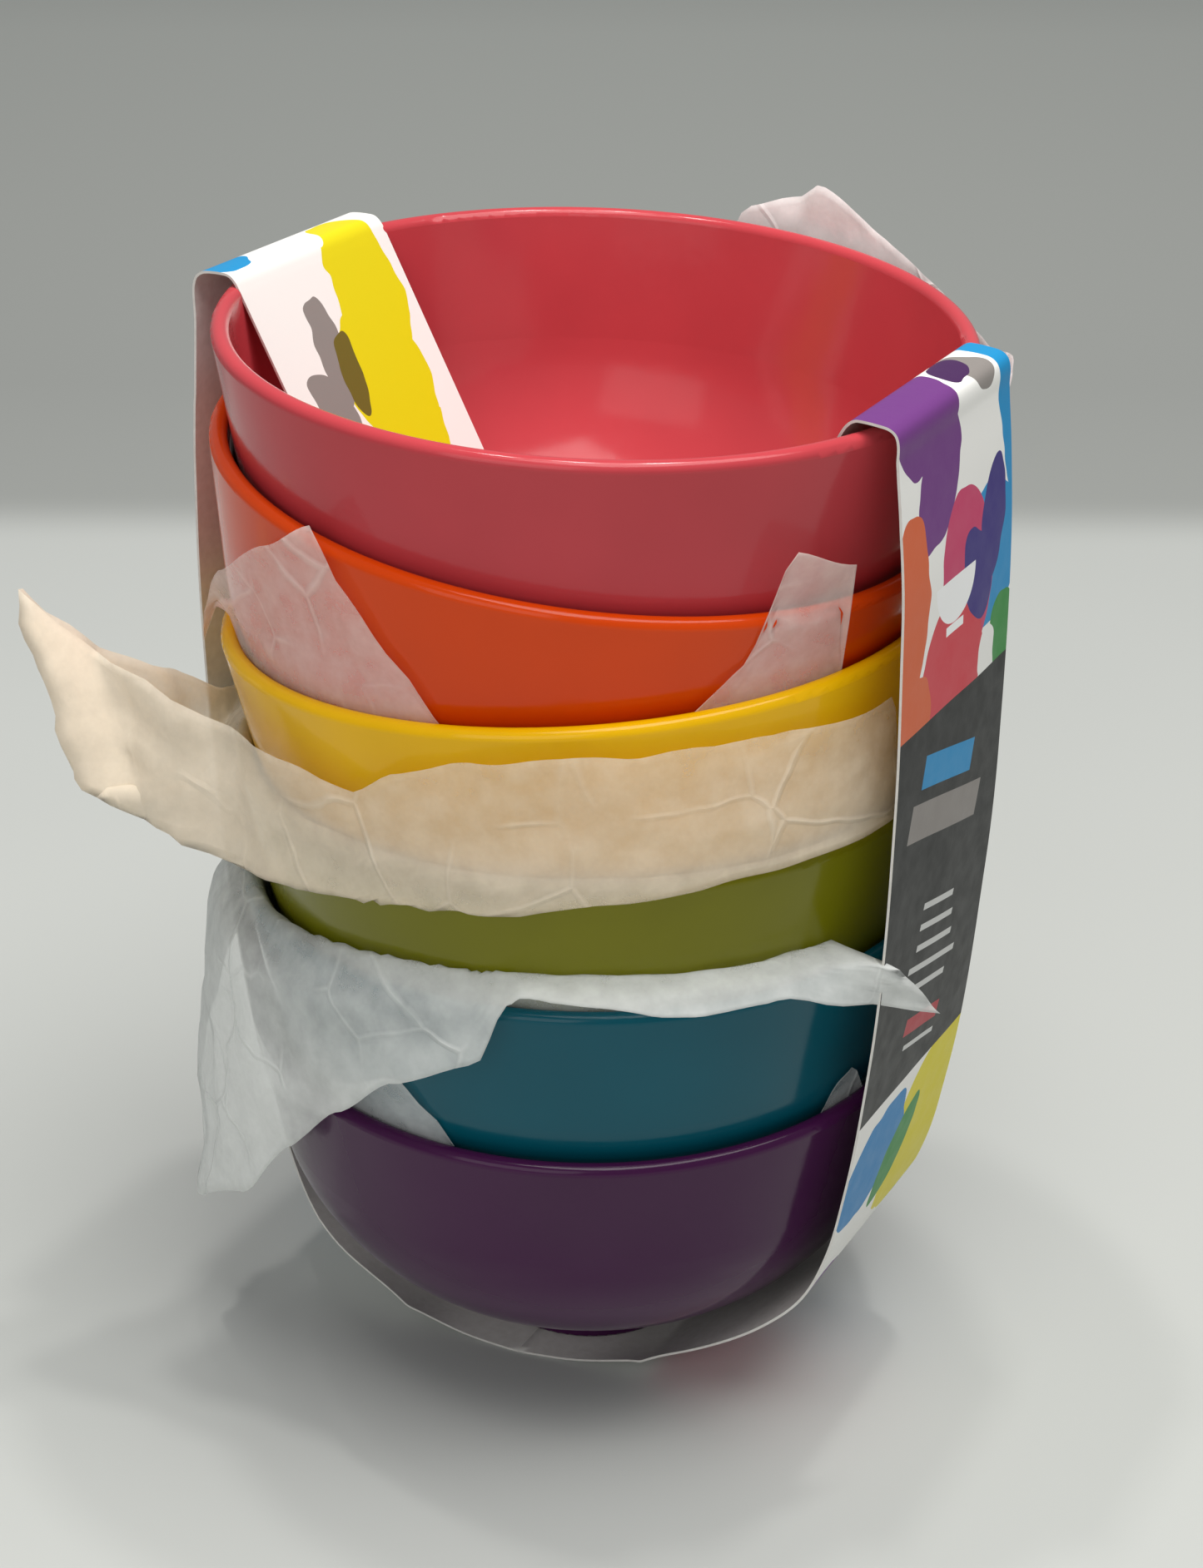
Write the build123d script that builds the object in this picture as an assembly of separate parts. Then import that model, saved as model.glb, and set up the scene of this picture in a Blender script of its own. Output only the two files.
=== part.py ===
from build123d import *
from math import atan2, cos, radians, sin, sqrt, tan
import os

os.makedirs("parts", exist_ok=True)

# A nested set of six moulded melamine mini bowls with tissue sheets between them,
# held by a printed paperboard sleeve whose two end flaps fold over the top rim.
# Millimetres, +Z up. The origin is the middle of the sleeve's flat underside, on the
# stack's axis. The sleeve runs along X, and its label side is +X.

# ---- bowl -------------------------------------------------------------------------
RIM_R = 57.0            # outer radius of the rim
BOWL_H = 63.5           # height from the foot to the rim
LIP_R = 1.4             # rounding of the rim
WALL = 2 * LIP_R        # wall thickness
TAPER = 0.17            # how much the upper wall widens for each millimetre of height
WALL_FOOT_H = 42.0      # height where the straight upper wall meets the belly
BELLY_R = 39.0          # radius of the belly, outside
CONE = radians(38.5)    # slope of the lower body, from the horizontal
FOOT_R = 20.0           # outer radius of the foot ring
FOOT_W = 2.6            # width of the foot ring
FOOT_RECESS = 1.8       # how far the underside is set up inside the foot ring
FOOT_ROUND = 0.6        # rounding of the foot ring's edges
FLOOR_T = 2.8           # floor thickness
FLOOR_R = 30.0          # radius between the inside floor and the lower body

# ---- how the six bowls nest ---------------------------------------------------------
# name, rim centre (x, y, height), lean of the bowl's axis towards +X and +Y in degrees
BOWLS = [
    ("purple_bowl", 0.3, 0.0, 64.6, 0.8, -1.5),
    ("teal_bowl", 0.4, 0.2, 87.1, -1.2, 2.1),
    ("green_bowl", 0.5, 0.3, 109.9, -1.0, 0.2),
    ("yellow_bowl", -1.0, -0.1, 132.9, -4.9, 0.0),
    ("orange_bowl", -0.9, 0.1, 154.9, 7.5, 1.2),
    ("pink_bowl", 0.8, 0.2, 176.1, 2.6, -0.9),
]

# ---- paperboard sleeve --------------------------------------------------------------
BOARD_T = 0.4           # thickness of the board
SLEEVE_W = 39.4         # width of the strip
BASE_HALF = 21.2        # half length of the flat base, which carries the foot ring
BASE_CORNER_R = 1.2
BELLY_X, BELLY_Z = 53.0, 27.0        # corner that the strip rounds under the bowls
BELLY_BEND_R = 45.0
SHOULDER_X, SHOULDER_Z = 60.9, 80.0  # the arms bow out past the rims
BOW_X, BOW_Z = 61.9, 125.0
BOW_R = 220.0
CREASE_X = 58.9         # the arms end in a crease beside the top rim
CREASE_Z_LABEL = 174.6  # height of the crease on the label side
CREASE_Z_BACK = 179.3   # and on the back side, where the top bowl's rim is higher
CREASE_GAP = 0.2        # parting of flap and arm at the crease
FLAP_OVER = 8.3         # length of a flap over the rim
FLAP_IN = 50.0          # length of a flap inside the top bowl
FLAP_SLOPE = radians(62)
FLAP_BEND_R = 3.0

# ---- tissue sheets ------------------------------------------------------------------
TISSUE_GAP = 0.12       # from the bowl that the sheet lies in
TISSUE_T = 0.2
# Corners that show: kind, first and last azimuth in degrees, length, lean from vertical
TISSUES = {
    "purple_bowl": [("up", -108, -82, 13, 13), ("up", -22, -13, 7, 13)],
    "teal_bowl": [("down", -152, -76, 32, 5), ("down", -76, -24, 6, 5)],
    "green_bowl": [("down", -152, -24, 7, 0)],
    "yellow_bowl": [("up", -148, -80, 22, 12), ("up", -46, -24, 26, 24)],
    "orange_bowl": [("up", 24, 95, 36, 14)],
}
WING_AZIMUTH = -150.4   # the green bowl's sheet sticks out as a wing on this side
WING = [(57.3, -8), (90, 12), (108, 42), (80, 27), (60, 12), (57.3, 0)]  # radius, above rim


def polar(angle):
    """Unit vector across a wall whose tangent rises at this angle, pointing outwards."""
    return Vector(sin(angle), -cos(angle))


wall_angle = atan2(1, TAPER)
lip_centre = Vector(RIM_R - LIP_R, BOWL_H - LIP_R)
wall_top = lip_centre + polar(wall_angle) * LIP_R
wall_foot = Vector(wall_top.X - TAPER * (wall_top.Y - WALL_FOOT_H), WALL_FOOT_H)
belly_centre = wall_foot - polar(wall_angle) * BELLY_R
floor_top = FOOT_RECESS + FLOOR_T


def wall_edges(depth):
    """The wall's line at this depth below the outer skin: belly, then straight wall."""
    radius = BELLY_R - depth
    middle = (CONE + wall_angle) / 2
    low, mid, high = (belly_centre + polar(a) * radius for a in (CONE, middle, wall_angle))
    top = wall_top - polar(wall_angle) * depth
    return low, [ThreePointArc(low, mid, high), Line(high, top)], top


def inside_edges(depth):
    """The inside line at this depth, from the axis along the floor and up the wall."""
    low, wall, top = wall_edges(depth)
    height = floor_top + depth - WALL
    radius = FLOOR_R - (depth - WALL)
    bend_end = height + radius * (1 - cos(CONE))
    bend_x = low.X - (low.Y - bend_end) / tan(CONE)
    centre = Vector(bend_x, bend_end) - polar(CONE) * radius
    start, mid, end = (centre + polar(a) * radius for a in (0, CONE / 2, CONE))
    floor = [Line((0, height), start), ThreePointArc(start, mid, end), Line(end, low)]
    return floor + wall, top


def cup(edges):
    """Turn closed edges, drawn in radius and height, into a body about the Z axis."""
    face = Plane.XZ * make_face(edges)
    return revolve(face, Axis.Z, 360)


def make_bowl():
    """One bowl, standing on its foot at the origin."""
    low, outer, outer_top = wall_edges(0)
    inner, inner_top = inside_edges(WALL)
    foot_top = low.Y - (low.X - FOOT_R) * tan(CONE)
    foot_in = FOOT_R - FOOT_W
    underside = [
        Line((0, floor_top), (0, FOOT_RECESS)),
        Line((0, FOOT_RECESS), (foot_in, FOOT_RECESS)),
        Line((foot_in, FOOT_RECESS), (foot_in, FOOT_ROUND)),
        ThreePointArc(
            (foot_in, FOOT_ROUND),
            (foot_in + FOOT_ROUND * (1 - sqrt(0.5)), FOOT_ROUND * (1 - sqrt(0.5))),
            (foot_in + FOOT_ROUND, 0),
        ),
        Line((foot_in + FOOT_ROUND, 0), (FOOT_R - FOOT_ROUND, 0)),
        ThreePointArc(
            (FOOT_R - FOOT_ROUND, 0),
            (FOOT_R - FOOT_ROUND * (1 - sqrt(0.5)), FOOT_ROUND * (1 - sqrt(0.5))),
            (FOOT_R, FOOT_ROUND),
        ),
        Line((FOOT_R, FOOT_ROUND), (FOOT_R, foot_top)),
        Line((FOOT_R, foot_top), low),
    ]
    lip_crown = lip_centre + Vector(TAPER, 1).normalized() * LIP_R
    lip = ThreePointArc(outer_top, lip_crown, inner_top)
    return cup(underside + outer + [lip] + inner)


def nest(name, x, y, top, lean_x, lean_y):
    """The place of a bowl's foot frame in the stack."""
    axis = Vector(tan(radians(lean_x)), tan(radians(lean_y)), 1).normalized()
    across = (Vector(1, 0, 0) - axis * axis.X).normalized()
    foot = Vector(x, y, top) - axis * BOWL_H
    return Location(Plane(origin=foot, x_dir=across, z_dir=axis))


def sector(face, first, last):
    """Turn a face through an arc about Z, from the first azimuth to the last."""
    return Rot(0, 0, first) * revolve(face, Axis.Z, last - first)


def tissue_corner(kind, first, last, length, lean):
    """A corner of a sheet that passes the rim and stands up or hangs down outside."""
    near, far = LIP_R + TISSUE_GAP, LIP_R + TISSUE_GAP + TISSUE_T
    inward = polar(wall_angle) * -1
    a, b = lip_centre + inward * near, lip_centre + inward * far
    if kind == "up":
        rise = Vector(sin(radians(lean)), cos(radians(lean))) * length
        edges = Polyline(a, b, b + rise, a + rise, close=True)
    else:
        crown_a = lip_centre + Vector(0, near)
        crown_b = lip_centre + Vector(0, far)
        side_a, side_b = lip_centre + Vector(near, 0), lip_centre + Vector(far, 0)
        drop = Vector(sin(radians(lean)), -cos(radians(lean))) * length
        edges = [
            ThreePointArc(a, crown_a, side_a),
            Line(side_a, side_a + drop),
            Line(side_a + drop, side_b + drop),
            Line(side_b + drop, side_b),
            ThreePointArc(side_b, crown_b, b),
            Line(b, a),
        ]
    return sector(Plane.XZ * make_face(edges), first, last)


def make_tissue(corners):
    """A sheet pressed into a bowl, with the corners that come out past its rim."""
    near, near_top = inside_edges(WALL + TISSUE_GAP)
    far, far_top = inside_edges(WALL + TISSUE_GAP + TISSUE_T)
    bottom = floor_top + TISSUE_GAP
    closing = [Line(near_top, far_top), Line((0, bottom + TISSUE_T), (0, bottom))]
    sheet = cup(near + far + closing)
    for corner in corners:
        sheet += tissue_corner(*corner)
    return sheet


def tissue_wing():
    """The wing of one sheet: an upright plate that runs out from the rim."""
    outline = Polyline(*((r, BOWL_H + rise) for r, rise in WING), close=True)
    plate = extrude(Plane.XZ * make_face(outline), TISSUE_T / 2, both=True)
    return Rot(0, 0, WING_AZIMUTH) * plate


def strip(path, inwards):
    """A strip of board whose outer face follows a path in X and Z."""
    outline = offset(path, amount=BOARD_T, side=inwards, closed=True)
    face = Plane.XZ * make_face(outline.edges())
    return extrude(face, SLEEVE_W / 2, both=True)


def make_sleeve():
    """The strip under and up both sides of the stack."""
    side = [(BASE_HALF, 0), (BELLY_X, BELLY_Z), (SHOULDER_X, SHOULDER_Z), (BOW_X, BOW_Z)]
    radii = [BASE_CORNER_R, BELLY_BEND_R, BOW_R, BOW_R]
    left = [(-x, z) for x, z in reversed(side)]
    points = [(-CREASE_X, CREASE_Z_BACK)] + left + side + [(CREASE_X, CREASE_Z_LABEL)]
    path = FilletPolyline(*points, radius=radii[::-1] + radii)
    return strip(path, Side.LEFT)


def make_flap(side, crease_z):
    """An end flap, from its crease over the rim and down inside the top bowl."""
    z = crease_z + CREASE_GAP
    bend_x = CREASE_X - FLAP_OVER
    tip = (bend_x - FLAP_IN * cos(FLAP_SLOPE), z - FLAP_IN * sin(FLAP_SLOPE))
    points = [(CREASE_X, z), (bend_x, z), tip]
    path = FilletPolyline(*((side * x, h) for x, h in points), radius=FLAP_BEND_R)
    return strip(path, Side.RIGHT if side > 0 else Side.LEFT)


nodes = {
    "paper_sleeve": make_sleeve(),
    "sleeve_flap_label": make_flap(1, CREASE_Z_LABEL),
    "sleeve_flap_back": make_flap(-1, CREASE_Z_BACK),
}
for name, *place in BOWLS:
    at = nest(name, *place)
    nodes[name] = at * make_bowl()
    if name in TISSUES:
        sheet = make_tissue(TISSUES[name])
        if name == "green_bowl":
            sheet += tissue_wing()
        nodes["tissue_in_" + name.removesuffix("_bowl")] = at * sheet

for name, solid in nodes.items():
    export_step(solid, f"parts/{name}.step")
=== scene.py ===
from math import atan2, cos, degrees, exp, hypot, pi, radians, sin, sqrt, tan
import bpy
from mathutils import Matrix, Vector, noise


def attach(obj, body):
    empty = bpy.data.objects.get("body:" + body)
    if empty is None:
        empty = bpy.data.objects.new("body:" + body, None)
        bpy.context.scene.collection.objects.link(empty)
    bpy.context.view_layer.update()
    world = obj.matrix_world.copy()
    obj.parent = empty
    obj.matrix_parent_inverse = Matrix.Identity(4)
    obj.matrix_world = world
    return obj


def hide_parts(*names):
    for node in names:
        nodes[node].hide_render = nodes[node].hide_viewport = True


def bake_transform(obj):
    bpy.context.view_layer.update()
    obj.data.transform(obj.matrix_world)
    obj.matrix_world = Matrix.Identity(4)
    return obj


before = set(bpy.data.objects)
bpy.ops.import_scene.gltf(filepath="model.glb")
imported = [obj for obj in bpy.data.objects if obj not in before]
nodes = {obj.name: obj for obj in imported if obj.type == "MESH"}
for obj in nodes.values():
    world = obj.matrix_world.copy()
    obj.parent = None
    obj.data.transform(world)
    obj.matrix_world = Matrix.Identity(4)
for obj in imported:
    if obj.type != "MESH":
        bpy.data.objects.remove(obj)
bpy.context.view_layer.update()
MM = 0.001

# Millimetres and degrees throughout, in the CAD's frame, turned to metres by MM.
# name, rim centre (x, y, height), lean of the bowl's axis towards +X and +Y
BOWLS = {
    "purple": (0.3, 0.0, 64.6, 0.8, -1.5),
    "teal": (0.4, 0.2, 87.1, -1.2, 2.1),
    "green": (0.5, 0.3, 109.9, -1.0, 0.2),
    "yellow": (-1.0, -0.1, 132.9, -4.9, 0.0),
    "orange": (-0.9, 0.1, 154.9, 7.5, 1.2),
    "pink": (0.8, 0.2, 176.1, 2.6, -0.9),
}
BOWL_H, WALL, LIP_R = 63.5, 2.8, 1.4
LIP = Vector((55.6, 62.1))             # centre of the rim's rounding, radius and height
TAPER, WALL_FOOT = 0.17, 42.0
WALL_TOP = Vector((56.98, 61.87))      # where the outer wall meets the rim's rounding
BELLY = Vector((15.15, 48.54))         # centre of the belly's curve
BELLY_R = 39.0
CONE = radians(38.5)
FLOOR_H = 4.6


def srgb(r, g, b):
    """A linear colour from 0-255 display values."""
    def lin(c):
        c /= 255
        return c / 12.92 if c <= 0.04045 else ((c + 0.055) / 1.055) ** 2.4
    return (lin(r), lin(g), lin(b), 1.0)


# ---- materials ----------------------------------------------------------------------
class Shader:
    """A node material on one Principled shader, with short calls to add nodes."""

    def __init__(self, name):
        self.mat = bpy.data.materials.new(name)
        self.mat.use_nodes = True
        self.tree = self.mat.node_tree
        self.bsdf = self.tree.nodes["Principled BSDF"]
        self.coords = None

    def node(self, kind, links=None, **settings):
        n = self.tree.nodes.new(kind)
        for key, value in settings.items():
            if hasattr(n, key):
                setattr(n, key, value)
            else:
                n.inputs[key.replace("_", " ")].default_value = value
        for key, source in (links or {}).items():
            self.tree.links.new(source, n.inputs[key])
        return n

    def object_coords(self):
        if self.coords is None:
            self.coords = self.node("ShaderNodeTexCoord").outputs["Object"]
        return self.coords

    def noise(self, scale, detail=4.0, coords=None, rough=0.5, distort=0.0):
        n = self.node("ShaderNodeTexNoise", {"Vector": coords or self.object_coords()})
        n.inputs["Scale"].default_value = scale
        n.inputs["Detail"].default_value = detail
        n.inputs["Roughness"].default_value = rough
        n.inputs["Distortion"].default_value = distort
        return n.outputs["Fac"]

    def ramp(self, fac, low, high, a=0.0, b=1.0):
        """fac taken from low..high to a..b."""
        n = self.node("ShaderNodeMapRange", {"Value": fac})
        for key, value in zip(("From Min", "From Max", "To Min", "To Max"),
                              (low, high, a, b)):
            n.inputs[key].default_value = value
        return n.outputs["Result"]

    def mix(self, fac, a, b, blend="MIX"):
        n = self.node("ShaderNodeMix", data_type="RGBA", blend_type=blend)
        for index, value in ((0, fac), (6, a), (7, b)):
            if isinstance(value, (float, int, tuple)):
                n.inputs[index].default_value = value
            else:
                self.tree.links.new(value, n.inputs[index])
        return n.outputs[2]

    def math(self, operation, a, b=None):
        n = self.node("ShaderNodeMath", operation=operation)
        for index, value in ((0, a), (1, b)):
            if value is None:
                continue
            if isinstance(value, (float, int)):
                n.inputs[index].default_value = value
            else:
                self.tree.links.new(value, n.inputs[index])
        return n.outputs[0]

    def bump(self, height, strength, distance, normal=None):
        n = self.node("ShaderNodeBump", {"Height": height})
        n.inputs["Strength"].default_value = strength
        n.inputs["Distance"].default_value = distance
        if normal is not None:
            self.tree.links.new(normal, n.inputs["Normal"])
        return n.outputs["Normal"]

    def link(self, output, socket):
        self.tree.links.new(output, self.bsdf.inputs[socket])

    def set(self, **values):
        for key, value in values.items():
            self.bsdf.inputs[key.replace("_", " ")].default_value = value


def melamine(name, colour):
    """Glossy moulded melamine: a deep even colour, a faint mould swirl, light scuffs."""
    s = Shader(name)
    tone = s.ramp(s.noise(28.0, 3.0), 0.35, 0.65, 0.0, 1.0)
    dark = tuple(c * 0.90 for c in colour[:3]) + (1.0,)
    s.link(s.mix(tone, dark, colour), "Base Color")
    scuff = s.noise(420.0, 6.0, rough=0.7)
    s.link(s.ramp(scuff, 0.45, 0.75, 0.13, 0.22), "Roughness")
    skin = s.bump(s.noise(160.0, 2.0), 0.05, 0.0006)
    s.link(skin, "Normal")
    s.set(IOR=1.5, Specular_IOR_Level=0.26)
    return s.mat


COLOURS = {
    "purple": (0.050, 0.006, 0.050, 1.0),
    "teal": (0.0008, 0.088, 0.128, 1.0),
    "green": (0.185, 0.182, 0.001, 1.0),
    "yellow": (0.930, 0.520, 0.001, 1.0),
    "orange": (0.740, 0.062, 0.001, 1.0),
    "pink": (0.560, 0.058, 0.072, 1.0),
}
for name, colour in COLOURS.items():
    bowl = nodes[name + "_bowl"]
    bowl.data.materials.clear()
    bowl.data.materials.append(melamine(name + "_melamine", colour))
    for face in bowl.data.polygons:
        face.use_smooth = True


def tissue_material(name, painted_cast_tint):
    """Thin tissue: cloudy white fibres with sharp pale creases, the white tinted with a
    painted colour cast from the coloured bowl just above the sheet. Where it lies on a bowl
    the colour behind shows through, and where it hangs free it looks whiter."""
    s = Shader(name)
    fibres = s.noise(1500.0, 5.0, rough=0.6)
    clouds = s.noise(240.0, 3.0, rough=0.5)
    light = tuple(min(1.0, c * 1.04) for c in painted_cast_tint[:3]) + (1.0,)
    s.link(s.mix(s.ramp(clouds, 0.35, 0.65), painted_cast_tint, light), "Base Color")
    bend = s.noise(26.0, 3.0, distort=0.4)
    swayed = s.node("ShaderNodeVectorMath", {0: s.object_coords()}, operation="MULTIPLY_ADD")
    swayed.inputs[1].default_value = (1, 1, 1)
    s.tree.links.new(s.math("MULTIPLY", bend, 0.012), swayed.inputs[2])
    lines = s.node("ShaderNodeTexVoronoi", {"Vector": swayed.outputs[0]},
                   feature="DISTANCE_TO_EDGE")
    lines.inputs["Scale"].default_value = 62.0
    line = s.ramp(lines.outputs["Distance"], 0.0, 0.035, 1.0, 0.0)
    some = s.ramp(s.noise(38.0, 2.0), 0.46, 0.62)
    crease = s.math("MULTIPLY", line, some)
    loose = s.node("ShaderNodeAttribute", attribute_name="loose").outputs["Fac"]
    body = s.math("ADD", s.ramp(clouds, 0.30, 0.70, 0.22, 0.32),
                  s.math("MULTIPLY", fibres, 0.05))
    body = s.math("ADD", body, s.math("MULTIPLY", loose, 0.30))
    s.link(s.math("ADD", body, s.math("MULTIPLY", crease, 0.22)), "Alpha")
    soft = s.bump(s.noise(60.0, 4.0, rough=0.5, distort=0.8), 0.30, 0.0016)
    sharp = s.bump(crease, 0.55, 0.0005, soft)
    s.link(s.bump(clouds, 0.15, 0.0004, sharp), "Normal")
    s.set(Roughness=0.85, Specular_IOR_Level=0.22)
    return s.mat


# ---- tissue sheets ------------------------------------------------------------------
def bowl_axes(name):
    """The foot's middle and the three axes of a bowl in the stack."""
    x, y, top, lean_x, lean_y = BOWLS[name]
    up = Vector((tan(radians(lean_x)), tan(radians(lean_y)), 1)).normalized()
    across = (Vector((1, 0, 0)) - up * up.x).normalized()
    return Vector((x, y, top)) - up * BOWL_H, Matrix((across, up.cross(across), up))


AXES = {name: bowl_axes(name) for name in BOWLS}


def to_stack(name, azimuth, radius, height):
    """A point given by azimuth, radius and height above a bowl's rim, in the stack's frame."""
    foot, axes = AXES[name]
    a = radians(azimuth)
    local = Vector((radius * cos(a), radius * sin(a), BOWL_H + height))
    return foot + axes.transposed() @ local


def from_stack(name, point):
    """The same point as azimuth, radius and height above the rim."""
    foot, axes = AXES[name]
    p = axes @ (point - foot)
    return degrees(atan2(p.y, p.x)), hypot(p.x, p.y), p.z - BOWL_H


def outer_radius(height):
    """Outer radius of a bowl at a height above its foot."""
    if height > WALL_TOP.y:
        rise = min(height - LIP.y, LIP_R)
        return LIP.x + sqrt(max(LIP_R ** 2 - rise ** 2, 0.0))
    if height > WALL_FOOT:
        return WALL_TOP.x - TAPER * (WALL_TOP.y - height)
    if height > 18.0:
        return BELLY.x + sqrt(BELLY_R ** 2 - (BELLY.y - height) ** 2)
    return max(20.0, 39.4 - (18.0 - height) / tan(CONE))


def keep_out(point, names, gap):
    """Moves a point out of the bowls named, sideways from their axes."""
    for name in names:
        azimuth, radius, height = from_stack(name, point)
        if -BOWL_H < height < 0.4:
            least = outer_radius(BOWL_H + height) + gap
            if radius < least:
                point = to_stack(name, azimuth, least, height)
    return point


def standoff(point, names):
    """How far a point is outside the nearest of the bowls named."""
    found = []
    for name in names:
        _, radius, height = from_stack(name, point)
        if -40.0 < height < 1.0:
            found.append(radius - outer_radius(BOWL_H + height))
    return min(found, default=12.0)


def inside_line(gap):
    """A bowl's inside, from near the axis to the rim's inner side, as radius and height."""
    depth = WALL + gap
    line = [(r, FLOOR_H + gap - BOWL_H) for r in (1.5, 6.0, 12.0)]
    low = BELLY + Vector((sin(CONE), -cos(CONE))) * (BELLY_R - depth)
    for k in range(1, 5):
        t = k / 5
        line.append((12 + (low.x - 12) * t,
                     FLOOR_H + gap + (low.y - FLOOR_H - gap) * t ** 1.7 - BOWL_H))
    wall = atan2(1, TAPER)
    for k in range(9):
        a = CONE + (wall - CONE) * k / 8
        p = BELLY + Vector((sin(a), -cos(a))) * (BELLY_R - depth)
        line.append((p.x, p.y - BOWL_H))
    x, z = line[-1]
    for k in range(1, 5):
        rise = (-3.0 - z) * k / 4
        line.append((x + TAPER * rise, z + rise))
    return line


def between(stations, azimuth):
    """The free part's line at an azimuth, blended from the stations on both sides."""
    keys = sorted(stations)
    azimuth = (azimuth - keys[0]) % 360 + keys[0]
    for a, b in zip(keys, keys[1:] + [keys[0] + 360]):
        if a <= azimuth <= b:
            t = (azimuth - a) / (b - a)
            t = t * 0.55 + (t * t * (3 - 2 * t)) * 0.45
            first, last = stations[a], stations[(b - keys[0]) % 360 + keys[0]]
            return [Vector(p).lerp(Vector(q), t) for p, q in zip(first, last)]


def resample(line, count):
    """count points evenly along a line."""
    steps = [0.0]
    for p, q in zip(line, line[1:]):
        steps.append(steps[-1] + (q - p).length)
    out, k = [], 0
    for i in range(count):
        want = steps[-1] * i / (count - 1)
        while k < len(line) - 2 and steps[k + 1] < want:
            k += 1
        span = max(steps[k + 1] - steps[k], 1e-6)
        out.append(line[k].lerp(line[k + 1], min(1.0, (want - steps[k]) / span)))
    return out


def facet(point, size, seed):
    """Crumpled paper: flat facets that meet at sharp creases, from -1 to 1."""
    p = point / size + Vector((seed * 7.3, seed * 3.1, seed * 5.7))
    near = noise.voronoi(p, distance_metric="DISTANCE", exponent=2.5)[0]
    return min(1.0, near[0] * 1.3) * 2 - 1


def make_tissue(bowl, stations, seed, clear, step=1.5, rows=26, crumple=1.0):
    """One sheet: pressed into its bowl, past the rim and on to its free edge.

    stations: azimuth to four points (turn, radius, height above the rim) of the free
    part, where turn is an added azimuth, so that a fold may lean sideways.
    clear: the bowls that the sheet must stay outside of."""
    inner = [Vector((0.0, r, h)) for r, h in inside_line(0.2)]
    count = int(360 / step)
    verts, faces, hang = [], [], []
    above = [n for n in clear if BOWLS[n][2] > BOWLS[bowl][2]]
    total = len(inner) + rows
    for i in range(count):
        azimuth = -180 + i * step
        free = between(stations, azimuth)
        start = inner[-1]
        line = resample([start] + [Vector(p) for p in free], rows + 1)[1:]
        for k, p in enumerate(inner + line):
            turn, radius, height = p
            point = to_stack(bowl, azimuth + turn, radius, height)
            out = (k - len(inner)) / rows
            if out > 0:
                amount = min(1.0, out * 2.2) * crumple
                push = facet(point, 13.0, seed) * 0.9 + facet(point, 5.5, seed + 1) * 0.35
                slip = noise.noise(point / 9.0 + Vector((seed, 0, 0)))
                past_rim = min(1.0, abs(radius - 57.5) / 8)
                a = radians(azimuth + turn)
                away = Vector((cos(a), sin(a), 0.15 * slip))
                point += away * push * amount * (0.55 + 1.3 * past_rim)
                point.z += slip * 0.8 * amount
                point = keep_out(point, above, 0.35)
                if radius > LIP.x:
                    point = keep_out(point, [n for n in clear if n not in above], 0.35)
            away_by = standoff(point, clear)
            hang.append(max(0.0, min(1.0, (away_by - 2.0) / 7.0)) if out > 0 else 0.0)
            verts.append(point * MM)
    for i in range(count):
        j = (i + 1) % count
        for k in range(total - 1):
            if (verts[j * total + k + 1] - verts[i * total + k + 1]).length > 0.012:
                continue              # beyond a corner the sheet's edge is open
            faces.append((i * total + k, j * total + k, j * total + k + 1,
                          i * total + k + 1))
    mesh = bpy.data.meshes.new(f"tissue_{bowl}")
    mesh.from_pydata(verts, [], faces)
    mesh.update()
    mesh.attributes.new("loose", "FLOAT", "POINT").data.foreach_set("value", hang)
    sheet = bpy.data.objects.new(f"tissue_sheet_{bowl}", mesh)
    bpy.context.scene.collection.objects.link(sheet)
    for face in mesh.polygons:
        face.use_smooth = True
    thin = sheet.modifiers.new("thickness", "SOLIDIFY")
    thin.thickness, thin.offset = 0.08 * MM, 0.0
    return sheet


HIDDEN = [(0, 54.2, -2.6), (0, 54.3, -2.2), (0, 54.3, -1.8), (0, 54.4, -1.4)]


def up(*points):
    """Free part that rises inside the rim, against the bowl above."""
    return [(0, 54.3, -1.0)] + list(points)


def over(*points):
    """Free part that passes over the rim to its outside."""
    return [(0, 54.6, 0.6), (0, 56.6, 0.9)] + list(points)


def folded(height, *points):
    """Free part that stands up against the bowl above, then folds down outside the rim."""
    return [(0, 54.9, height * 0.5), (0, 55.4, height)] + list(points)


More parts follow.
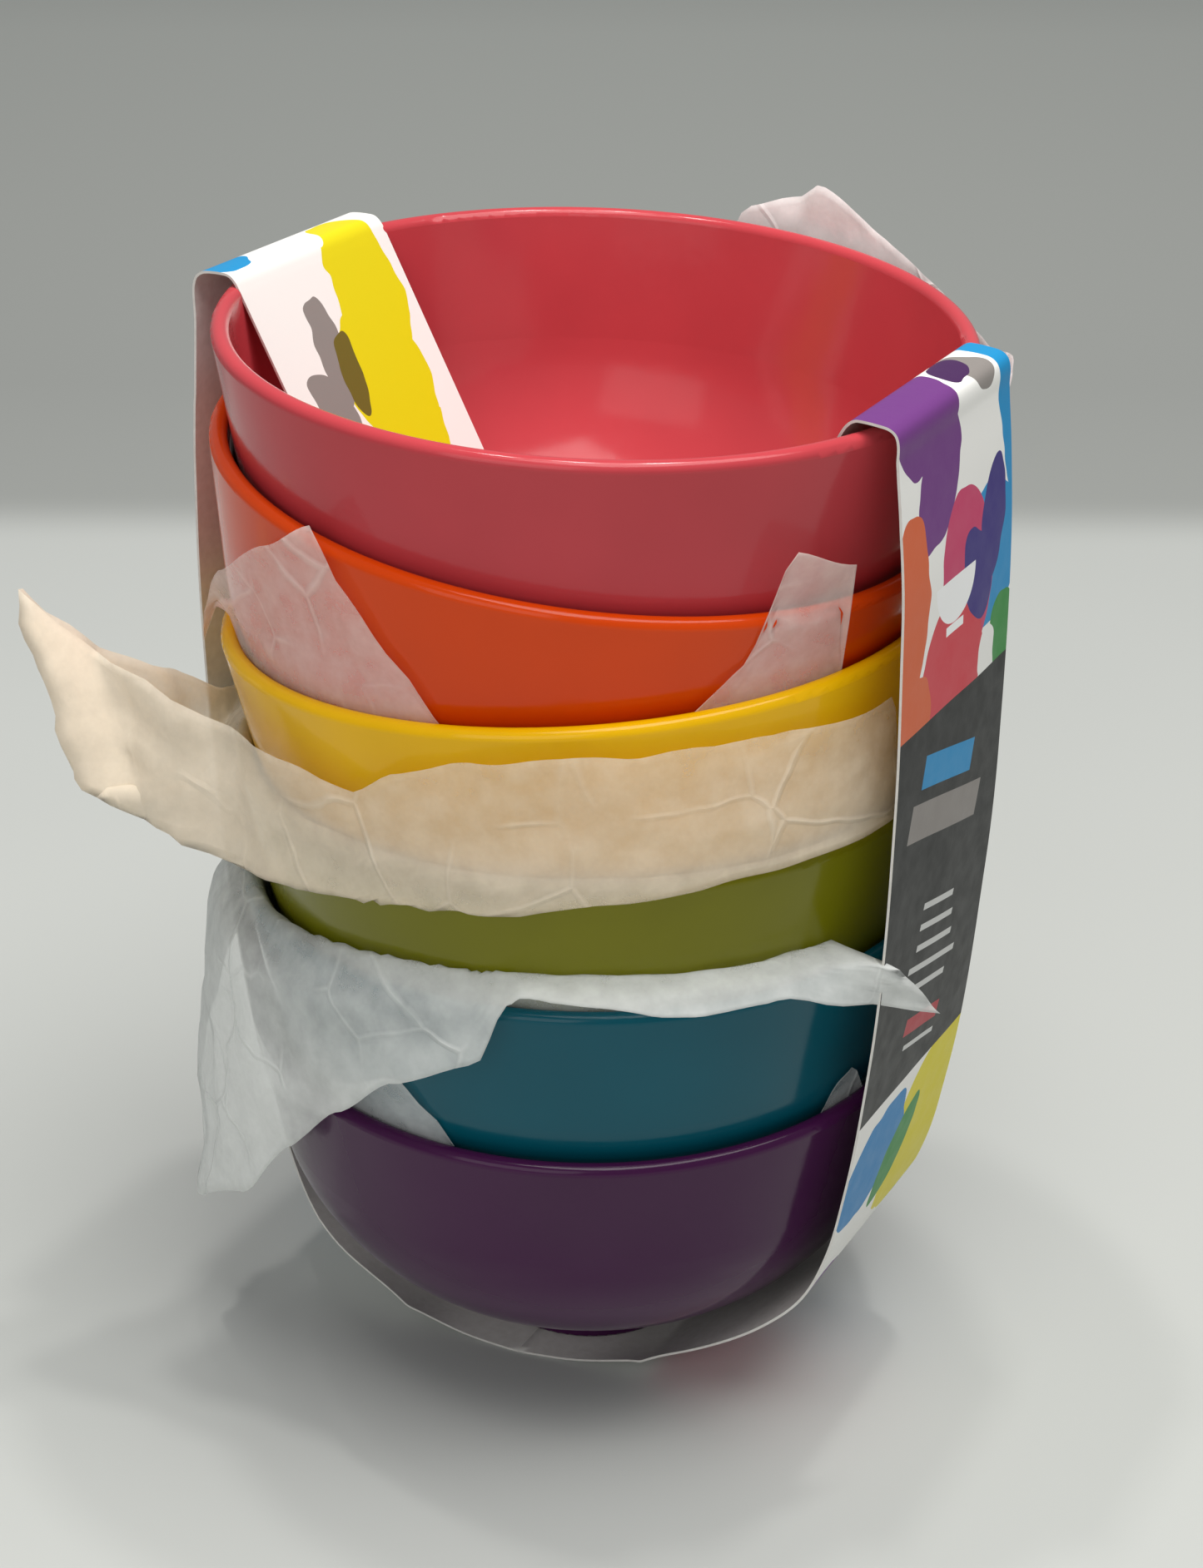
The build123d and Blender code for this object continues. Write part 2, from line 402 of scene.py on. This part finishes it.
TISSUES = {
    "purple": ({
        -112: HIDDEN, -106: up((0, 53.6, 0.5), (0, 53.8, 1.5), (0, 54.0, 2.5)),
        -92: up((0, 53.9, 3.0), (0, 54.6, 6.5), (0, 55.5, 9.5)),
        -86: up((0, 53.9, 1.5), (0, 54.2, 2.8), (0, 54.5, 4.0)), -82: HIDDEN,
        -21: HIDDEN, -17: up((0, 54.0, 1.5), (0, 54.4, 2.8), (0, 54.8, 4.0)),
        -13: up((0, 54.0, 2.2), (0, 54.5, 3.8), (0, 55.0, 5.5)), -9: HIDDEN,
    }, 1.0, 0.3),
    "teal": ({
        -165: HIDDEN,
        -158: over((-2, 61.0, -5.0), (-3, 62.5, -24.0)),
        -148: over((-3, 62.5, -6.0), (-6, 66.0, -40.0)),
        -138: over((-3, 62.0, -6.0), (-6, 66.5, -62.0)),
        -124: over((0, 60.5, -6.0), (0, 62.5, -49.0)),
        -112: folded(2.5, (0, 59.8, -5.0), (0, 60.5, -34.0)),
        -100: folded(4.0, (0, 59.2, -3.0), (0, 60.2, -22.5)),
        -90: folded(5.0, (0, 59.0, -1.0), (0, 60.5, -13.5)),
        -80: folded(5.4, (2, 59.2, 0.5), (4, 61.0, -6.5)),
        -75: folded(5.8, (2, 59.0, 3.0), (3, 60.5, 3.0)),
        -70: folded(6.2, (0, 59.0, 5.0), (0, 60.0, 4.2)),
        -60: folded(6.4, (0, 59.0, 5.0), (0, 61.0, 3.8)),
        -47: folded(6.0, (0, 59.0, 4.5), (0, 61.0, 1.8)),
        -34: folded(5.6, (0, 59.5, 4.0), (0, 61.0, 2.0)),
        -27: folded(5.6, (1, 60.5, 4.0), (5, 62.5, -2.0)),
        -23: folded(5.6, (3, 63.0, 4.0), (9, 64.5, -5.5)),
        -21: folded(5.6, (4, 64.5, 3.0), (13, 65.5, -8.2)),
        -19: HIDDEN,
    }, 2.0, 0.7),
    "green": ({
        176: HIDDEN,
        -172: over((0, 59.0, -1.0), (0, 59.5, -3.0)),
        -158: over((-2, 60.5, -4.0), (-3, 61.0, 1.0)),
        -146: over((-4, 66.0, -12.0), (-6, 67.0, 9.0)),
        -137: over((-6, 73.0, -11.0), (-11, 77.0, 15.0)),
        -128: over((-8, 82.0, -1.0), (-15, 88.0, 28.5)),
        -121: over((-10, 72.0, -6.0), (-20, 75.0, 17.5)),
        -114: over((-3, 61.5, -9.0), (-7, 61.5, 13.5)),
        -104: over((0, 59.3, -7.5), (-2, 59.0, 12.0)),
        -96: over((0, 59.0, -6.5), (0, 58.2, 11.0)),
        -90: over((0, 58.9, -5.6), (1, 58.4, 15.5)),
        -78: over((0, 58.8, -4.6), (1, 58.6, 20.0)),
        -62: over((0, 58.7, -2.6), (0, 58.6, 21.5)),
        -52: over((0, 58.6, -1.0), (0, 58.4, 21.5)),
        -38: over((0, 58.4, 0.2), (0, 58.0, 21.5)),
        -24: over((0, 58.2, 0.6), (0, 57.6, 21.0)),
        -12: over((0, 58.0, 0.8), (0, 57.4, 20.5)),
        -2: HIDDEN,
    }, 3.0, 0.9),
    "yellow": ({
        -156: HIDDEN,
        -150: up((0, 55.0, 1.0), (0, 56.8, 2.0), (0, 58.0, 0.5)),
        -143: up((0, 55.2, 2.5), (0, 57.2, 3.5), (-1, 59.5, -2.5)),
        -135: up((0, 55.2, 3.5), (-1, 57.0, 7.0), (-2, 59.0, 5.0)),
        -126: up((0, 55.2, 5.5), (-1, 56.6, 10.5), (-1, 57.4, 14.5)),
        -110: up((0, 55.2, 8.0), (0, 56.6, 16.0), (1, 57.6, 23.0)),
        -97: up((0, 55.0, 9.0), (0, 57.0, 19.0), (0, 58.4, 28.5)),
        -95: up((0, 55.0, 7.0), (0, 56.6, 14.0), (0, 57.6, 21.0)),
        -87: up((0, 54.8, 2.6), (0, 55.2, 5.4), (0, 55.8, 8.4)),
        -81: HIDDEN, -46: HIDDEN,
        -37: up((0, 54.6, 1.5), (0, 55.2, 3.5), (1, 56.0, 6.0)),
        -32: up((0, 55.0, 7.0), (0, 58.0, 15.0), (1, 62.0, 22.5)),
        -21: up((0, 55.0, 6.0), (0, 57.8, 12.5), (0, 61.2, 17.7)),
        -18: HIDDEN,
    }, 4.0, 0.35),
    "orange": ({
        12: HIDDEN,
        18: up((0, 56.5, 7.0), (0, 59.0, 15.0), (0, 60.0, 21.5)),
        26: up((0, 56.0, 8.0), (0, 58.8, 17.0), (0, 60.0, 24.5)),
        34: up((0, 56.0, 8.0), (0, 58.0, 16.5), (0, 58.6, 22.5)),
        47: up((0, 56.0, 8.0), (0, 58.0, 16.0), (0, 58.4, 22.5)),
        69: up((0, 56.0, 9.0), (0, 58.0, 18.0), (0, 58.6, 26.0)),
        85: up((0, 56.0, 10.0), (0, 58.0, 21.0), (0, 59.0, 31.5)),
        89: up((0, 56.0, 9.0), (0, 59.0, 19.0), (0, 61.0, 27.5)),
        97: up((0, 56.0, 8.0), (0, 58.4, 17.0), (0, 60.0, 24.5)),
        101: up((0, 55.0, 3.0), (0, 56.0, 8.0), (0, 57.0, 12.0)), 106: HIDDEN,
    }, 5.0, 0.9),
}
# White tissue with a painted colour cast: each tint leans to the colour of the bowl just above
# that sheet.
PAINTED_CAST_TINTS = {"purple": (0.86, 0.88, 0.88, 1), "teal": (0.86, 0.88, 0.86, 1),
         "green": (0.93, 0.83, 0.68, 1), "yellow": (1.0, 0.82, 0.77, 1),
         "orange": (0.92, 0.84, 0.83, 1)}
for bowl, (stations, seed, crumple) in TISSUES.items():
    stack = list(BOWLS)
    at = stack.index(bowl)
    clear = stack[max(0, at - 2):at + 3]
    sheet = make_tissue(bowl, stations, seed, clear, crumple=crumple)
    sheet.data.materials.append(tissue_material(f"tissue_paper_{bowl}", PAINTED_CAST_TINTS[bowl]))
    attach(sheet, bowl)
    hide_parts(f"tissue_in_{bowl}")

# ---- printed paperboard sleeve --------------------------------------------------------
BOARD_T, HALF_W = 0.4, 19.7
# Outer face of each half, in distance from the axis and height, from the middle of the
# base up to the crease and on over the rim to the flap's tip.
ARM = [(0, 0), (12, 0), (20.4, 0.1), (22, 0.8), (33, 10.0), (43.5, 19.0), (50.5, 27.5),
       (54.6, 38.0), (56.8, 49.0), (58.6, 62.0), (60.3, 80.0), (61.3, 100.0), (61.6, 125.0),
       (61.0, 148.0), (59.8, 162.0)]
LABEL_TOP = [(58.9, 170.0), (58.85, 172.5), (58.4, 174.0), (57.4, 174.8), (56.0, 175.1),
             (52.6, 175.3), (51.6, 175.0), (50.7, 174.2), (49.9, 172.9), (49.3, 171.7),
             (38.5, 151.4), (27.7, 131.1)]
BACK_TOP = [(59.0, 172.0), (58.95, 176.6), (58.4, 178.6), (57.3, 179.6), (55.8, 180.0),
            (52.6, 180.1), (51.6, 179.8), (50.7, 179.0), (49.9, 177.7), (49.3, 176.6),
            (38.5, 156.3), (27.7, 136.0)]
ZERO = (100.0, 61.3)                  # on the arms, the print's coordinate is the height


def smooth_path(points, pieces=7):
    """A path through the points with the corners eased."""
    pts = [Vector(p) for p in points]
    out = []
    for k in range(len(pts) - 1):
        p0, p1 = pts[max(k - 1, 0)], pts[k]
        p2, p3 = pts[k + 1], pts[min(k + 2, len(pts) - 1)]
        span = (p2 - p1).length
        m1 = (p2 - p0) * (span / max((p2 - p0).length, 1e-6))
        m2 = (p3 - p1) * (span / max((p3 - p1).length, 1e-6))
        for i in range(pieces):
            t = i / pieces
            a, b = 2 * t ** 3 - 3 * t ** 2 + 1, t ** 3 - 2 * t ** 2 + t
            out.append(p1 * a + m1 * b + p2 * (1 - a) + m2 * (t ** 3 - t ** 2))
    out.append(pts[-1])
    return out


def skew(side, distance, height):
    """How far the strip lies off its line under the bowls, where it is a little twisted."""
    if side > 0:
        return -5.0 * max(0.0, 1 - distance / 20.0) if height < 5 else 0.0
    low = -5.0 - 3.7 * min(1.0, distance / 39.0)
    fade = min(1.0, max(0.0, (height - 9.0) / 24.0))
    return low * (1 - fade * fade * (3 - 2 * fade))


def make_sleeve_half(name, side, top):
    """Half the sleeve as one bent board with real thickness, from the base to its tip."""
    path = smooth_path(ARM + top)
    steps = [0.0]
    for p, q in zip(path, path[1:]):
        steps.append(steps[-1] + (q - p).length)
    zero = next(s - p.y for s, p in zip(steps, path) if p.y >= ZERO[0])
    across = [-HALF_W + 2 * HALF_W * k / 26 for k in range(27)]
    verts, uvs, faces, slots = [], [], [], []
    for layer in (0, 1):
        for k, p in enumerate(path):
            ahead = (path[min(k + 1, len(path) - 1)] - path[max(k - 1, 0)]).normalized()
            inward = Vector((-ahead.y, ahead.x))
            q = p + inward * BOARD_T * layer
            for y in across:
                edge = (abs(y) / HALF_W) ** 3
                curl = edge * 2.6 * exp(-((p.x - 22.0) / 9.0) ** 2) if p.y < 60 else 0.0
                wave = 0.25 * noise.noise(Vector((y / 16, steps[k] / 22, 3.0 * side)))
                wave *= min(1.0, p.y / 40) * (1 if p.y < 160 and k < len(path) * 0.75 else 0)
                x, z = q.x + wave, q.y + curl
                verts.append(Vector((side * x, y + skew(side, p.x, p.y), z)) * MM)
                uvs.append((y * 0.01, (steps[k] - zero) * 0.01))
    wide, size = len(across), len(across) * len(path)
    for k in range(len(path) - 1):
        for j in range(wide - 1):
            a, b = k * wide + j, (k + 1) * wide + j
            outer = (a, a + 1, b + 1, b)
            inner = tuple(i + size for i in (a, b, b + 1, a + 1))
            faces += [outer, inner]
            slots += [0, 1]
        for j, flip in ((0, False), (wide - 1, True)):
            a, b = k * wide + j, (k + 1) * wide + j
            rim = (a, b, b + size, a + size)
            faces.append(rim[::-1] if flip else rim)
            slots.append(1)
    for k, flip in ((0, True), (len(path) - 1, False)):
        for j in range(wide - 1):
            a = k * wide + j
            rim = (a, a + 1, a + 1 + size, a + size)
            faces.append(rim[::-1] if flip else rim)
            slots.append(1)
    if side < 0:
        faces = [f[::-1] for f in faces]
    mesh = bpy.data.meshes.new(name)
    mesh.from_pydata(verts, [], faces)
    layer = mesh.uv_layers.new(name="print")
    for face, slot_index in zip(mesh.polygons, slots):
        face.material_index = slot_index
        face.use_smooth = True
        for loop in face.loop_indices:
            layer.data[loop].uv = uvs[mesh.loops[loop].vertex_index]
    half = bpy.data.objects.new(name, mesh)
    bpy.context.scene.collection.objects.link(half)
    sharp = mesh.attributes.new("sharp_edge", "BOOLEAN", "EDGE")
    for edge in mesh.edges:
        a, b = edge.vertices
        on_rim = all(v % size % wide in (0, wide - 1) for v in (a, b))
        same = (a < size) == (b < size)
        if on_rim and same:
            sharp.data[edge.index].value = True
    return half


class Print(Shader):
    """Printed board: flat overlapping colour shapes on white, under a thin varnish."""

    def __init__(self, name, ground):
        super().__init__(name)
        uv = self.node("ShaderNodeUVMap", uv_map="print").outputs["UV"]
        self.flat = uv
        wobble = self.noise(14.0, 1.0, coords=uv)
        shift = self.math("MULTIPLY", self.math("SUBTRACT", wobble, 0.5), 0.035)
        joined = self.node("ShaderNodeCombineXYZ", {"X": shift, "Y": shift}).outputs[0]
        self.drawn = self.node("ShaderNodeVectorMath", {0: uv, 1: joined},
                               operation="ADD").outputs[0]
        self.colour = ground

    def place(self, coords, y, t, half_y, half_t, angle):
        n = self.node("ShaderNodeMapping", {"Vector": coords}, vector_type="TEXTURE")
        n.inputs["Location"].default_value = (y * 0.01, t * 0.01, 0)
        n.inputs["Rotation"].default_value = (0, 0, radians(angle))
        n.inputs["Scale"].default_value = (half_y * 0.01, half_t * 0.01, 1)
        return n.outputs[0]

    def blob(self, y, t, half_y, half_t, angle, colour):
        """A sharp-edged ellipse, slightly out of round."""
        at = self.place(self.drawn, y, t, half_y, half_t, angle)
        far = self.node("ShaderNodeVectorMath", {0: at}, operation="LENGTH").outputs["Value"]
        inside = self.math("LESS_THAN", far, 1.0)
        self.colour = self.mix(inside, self.colour, colour)

    def block(self, y, t, half_y, half_t, angle, colour):
        """A straight-edged box."""
        at = self.place(self.flat, y, t, half_y, half_t, angle)
        size = self.node("ShaderNodeVectorMath", {0: at}, operation="ABSOLUTE").outputs[0]
        parts = self.node("ShaderNodeSeparateXYZ", {0: size}).outputs
        most = self.math("MAXIMUM", parts[0], parts[1])
        self.colour = self.mix(self.math("LESS_THAN", most, 1.0), self.colour, colour)

    def half_disc(self, y, t, radius, colour):
        """The lower half of a disc, as a plain drawing of a bowl."""
        at = self.place(self.flat, y, t, radius, radius, 0)
        far = self.node("ShaderNodeVectorMath", {0: at}, operation="LENGTH").outputs["Value"]
        parts = self.node("ShaderNodeSeparateXYZ", {0: at}).outputs
        lower = self.math("LESS_THAN", parts[1], 0.0)
        inside = self.math("MULTIPLY", self.math("LESS_THAN", far, 1.0), lower)
        self.colour = self.mix(inside, self.colour, colour)

    def finish(self):
        self.link(self.colour, "Base Color")
        self.link(self.ramp(self.noise(300.0, 3.0), 0.3, 0.7, 0.34, 0.44), "Roughness")
        self.link(self.bump(self.noise(1200.0, 3.0), 0.05, 0.0002), "Normal")
        self.set(IOR=1.5, Specular_IOR_Level=0.17)
        return self.mat


WHITE = (0.86, 0.85, 0.82, 1.0)
PURPLE, PLUM = srgb(112, 58, 128), srgb(70, 38, 84)
CYAN, INDIGO = srgb(30, 140, 196), srgb(58, 46, 122)
MAGENTA, RED = srgb(196, 62, 104), srgb(206, 62, 74)
ORANGE_INK, GREEN_INK = srgb(212, 100, 58), srgb(52, 138, 62)
LIME, GREY_INK = srgb(222, 208, 22), srgb(140, 134, 130)
CHARCOAL, PALE = srgb(30, 31, 31), srgb(206, 206, 204)
OLIVE, BLUE_INK = srgb(110, 98, 40), srgb(40, 130, 190)

label = Print("printed_label_board", WHITE)
for shape in (
    (19.0, 168, 3.2, 16, 6, CYAN), (12.0, 147, 10.5, 11, 20, CYAN),
    (-10.0, 178, 11.5, 13.0, 12, PURPLE), (-6.5, 164, 6.5, 10.5, -28, PURPLE),
    (9.5, 177, 4.0, 5.6, 35, GREY_INK), (6.5, 178.5, 4.2, 3.4, 20, PLUM),
    (3.0, 147, 9.0, 13.5, 8, MAGENTA), (-2.0, 133, 11.0, 13.0, -12, RED),
    (-17.5, 147, 6.5, 15.0, -6, ORANGE_INK), (-16.0, 131, 7.5, 6.5, 10, ORANGE_INK),
    (12.5, 152, 4.2, 9.5, -14, INDIGO), (6.5, 146, 4.8, 8.0, 20, INDIGO),
    (17.5, 133, 5.8, 7.0, 15, GREEN_INK), (11.0, 130.5, 3.0, 5.5, 10, WHITE),
    (12.5, 46, 16.0, 18.0, -20, LIME), (-10.0, 50, 12.0, 9.0, 35, BLUE_INK),
    (0.5, 46, 4.2, 10.0, -32, GREEN_INK), (-13.5, 34, 8.0, 5.5, 30, WHITE),
    (-15.5, 23, 8.5, 7.5, 20, PURPLE), (-4.0, 15, 13.0, 8.5, 10, RED),
    (12.0, 16, 9.0, 12.0, -15, BLUE_INK), (-10.0, -4, 15.0, 9.0, 5, MAGENTA),
):
    label.blob(*shape)
label.block(0, 95.5, 25, 33.0, 0, CHARCOAL)
label.half_disc(-1.5, 148.0, 7.0, (0.9, 0.9, 0.9, 1))
label.block(-1.5, 140.2, 3.0, 0.7, 0, (0.9, 0.9, 0.9, 1))
label.block(-1.0, 118.0, 9.5, 2.6, -14, CYAN)
label.block(-1.0, 110.0, 13.5, 3.0, -14, GREY_INK)
for k, half in enumerate((6.0, 6.6, 7.2, 9.6, 6.4)):
    label.block(0.5, 94.0 - 3.6 * k, half, 0.55, -14, PALE)
label.block(0.0, 72.5, 7.0, 1.5, -14, srgb(176, 52, 62))
label.block(0.0, 68.6, 6.4, 0.45, -14, PALE)

back = Print("printed_back_board", WHITE)
for shape in (
    (9.0, 196, 8.5, 15.0, 6, LIME), (4.5, 210, 10.5, 12.5, -8, LIME),
    (10.0, 224, 7.5, 7.0, 0, LIME), (2.5, 183, 2.6, 4.4, 0, WHITE),
    (-6.0, 203, 3.2, 9.5, 8, GREY_INK), (-10.5, 211, 4.0, 6.5, -20, GREY_INK),
    (-3.0, 207, 2.4, 7.0, 10, OLIVE), (-16.0, 181.5, 5.2, 4.0, 0, CYAN),
    (-9.0, 222, 8.0, 4.8, 25, WHITE), (16.5, 222, 4.0, 12.0, 12, WHITE),
    (-12.0, 168, 8.0, 9.0, 10, CYAN), (10.0, 160, 11.0, 14.0, -15, LIME),
    (-6.0, 146, 12.0, 9.0, 20, MAGENTA), (12.0, 136, 9.0, 9.0, 0, INDIGO),
    (-13.0, 58, 9.0, 10.0, 10, GREEN_INK), (9.0, 50, 12.0, 9.0, 0, ORANGE_INK),
    (-4.0, 30, 14.0, 9.0, 15, PURPLE), (10.0, 14, 10.0, 9.0, 0, CYAN),
):
    back.blob(*shape)
back.block(0, 95.5, 25, 33.0, 0, CHARCOAL)
for k in range(7):
    back.block(0, 112.0 - 4.2 * k, 13.5 - (k % 3) * 1.6, 0.5, 0, PALE)
back.block(0, 76.0, 12.0, 5.0, 0, (0.9, 0.9, 0.9, 1))

board = Shader("white_board_inside")
fibre = board.noise(700.0, 5.0)
board.link(board.mix(board.ramp(fibre, 0.3, 0.7), (0.70, 0.68, 0.64, 1),
                     (0.78, 0.765, 0.73, 1)), "Base Color")
board.link(board.bump(fibre, 0.15, 0.0003), "Normal")
board.set(Roughness=0.7, Specular_IOR_Level=0.25)

for name, side, top, art, flap, crease in (
    ("sleeve_label_half", 1, LABEL_TOP, label, "label_flap", 174.6),
    ("sleeve_back_half", -1, BACK_TOP, back, "back_flap", 179.3),
):
    half = make_sleeve_half(name, side, top)
    half.data.materials.append(art.finish())
    half.data.materials.append(board.mat)
    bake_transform(half)
    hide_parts("paper_sleeve", "sleeve_flap_" + flap.removesuffix("_flap"))

# ---- stage, light and camera --------------------------------------------------------
HEADING = Vector((cos(radians(119.58)), sin(radians(119.58)), 0))
ACROSS = Vector((HEADING.y, -HEADING.x, 0))


def pale_floor():
    """One wide plain floor. Far behind the object its tone falls off softly to a darker band
    that stands for the backdrop wall, and further back it is painted lighter with distance,
    painted light that makes up for the lamps' falloff there.
    """
    half = 4.0
    mesh = bpy.data.meshes.new("stage")
    mesh.from_pydata([(-half, -half, 0), (half, -half, 0), (half, half, 0), (-half, half, 0)],
                     [], [(0, 1, 2, 3)])
    stage = bpy.data.objects.new("stage_floor", mesh)
    bpy.context.scene.collection.objects.link(stage)
    s = Shader("pale_stage")
    floor = s.mix(s.ramp(s.noise(3.0, 2.0), 0.3, 0.7), (0.52, 0.535, 0.515, 1),
                  (0.55, 0.565, 0.545, 1))
    behind = s.node("ShaderNodeVectorMath", {0: s.object_coords()}, operation="DOT_PRODUCT")
    behind.inputs[1].default_value = HEADING
    edge = s.ramp(behind.outputs["Value"], 0.345, 0.395)
    soft = s.node("ShaderNodeMapRange", {"Value": edge}, interpolation_type="SMOOTHERSTEP")
    # painted light: the far floor grows lighter with distance to make up for the lamps'
    # falloff
    rise = s.ramp(behind.outputs["Value"], 0.5, 1.1)
    far = s.mix(rise, (0.345, 0.355, 0.34, 1), (0.52, 0.535, 0.505, 1))
    s.link(s.mix(soft.outputs["Result"], floor, far), "Base Color")
    s.set(Roughness=0.55, Specular_IOR_Level=0.35)
    mesh.materials.append(s.mat)


def area_light(name, place, aim, size, power, colour=(1, 1, 1)):
    data = bpy.data.lights.new(name, "AREA")
    data.shape, data.size, data.size_y = "RECTANGLE", size[0], size[1]
    data.energy, data.color = power, colour
    light = bpy.data.objects.new(name, data)
    bpy.context.scene.collection.objects.link(light)
    light.location = place
    light.visible_camera = False
    light.rotation_euler = (Vector(aim) - Vector(place)).to_track_quat("-Z", "Y").to_euler()


pale_floor()
middle = Vector((0, 0, 0.09))
area_light("overhead_softbox", middle + Vector((0, 0, 1.0)) - HEADING * 0.22 + ACROSS * 0.2,
           middle, (0.85, 0.60), 8.8, (1.0, 0.985, 0.96))
for k in (-1, 0, 1):
    place = middle + Vector((0, 0, 1.25)) + HEADING * 0.12 + ACROSS * 0.22 * k
    area_light(f"ceiling_lamp_{k + 1}", place, middle, (0.06, 0.06), 2.3, (1.0, 0.98, 0.95))
area_light("front_fill", middle - HEADING * 1.2 - ACROSS * 0.5 + Vector((0, 0, 0.55)), middle,
           (0.9, 0.9), 3.4, (1.0, 0.98, 0.95))
world = bpy.data.worlds.new("room")
bpy.context.scene.world = world
world.use_nodes = True
world.node_tree.nodes["Background"].inputs["Color"].default_value = (0.80, 0.83, 0.84, 1)
world.node_tree.nodes["Background"].inputs["Strength"].default_value = 0.34
bpy.context.scene.view_settings.view_transform = "Standard"

PITCH, ROLL, FOCAL_PX, TALL_PX, SENSOR = radians(26.92), radians(0.24), 3200.5, 1884, 36.0
camera_data = bpy.data.cameras.new("camera")
camera_data.sensor_width = SENSOR
camera_data.lens = FOCAL_PX / TALL_PX * SENSOR
camera_data.clip_start, camera_data.clip_end = 0.01, 20
camera = bpy.data.objects.new("camera", camera_data)
bpy.context.scene.collection.objects.link(camera)
forward = HEADING * cos(PITCH) - Vector((0, 0, sin(PITCH)))
upward = ACROSS.cross(forward)
right = ACROSS * cos(ROLL) + upward * sin(ROLL)
upward = upward * cos(ROLL) - ACROSS * sin(ROLL)
rotation = Matrix((right, upward, -forward)).transposed().to_4x4()
camera.matrix_world = Matrix.Translation((0.1913, -0.3335, 0.2936)) @ rotation
bpy.context.scene.camera = camera

bpy.context.view_layer.update()
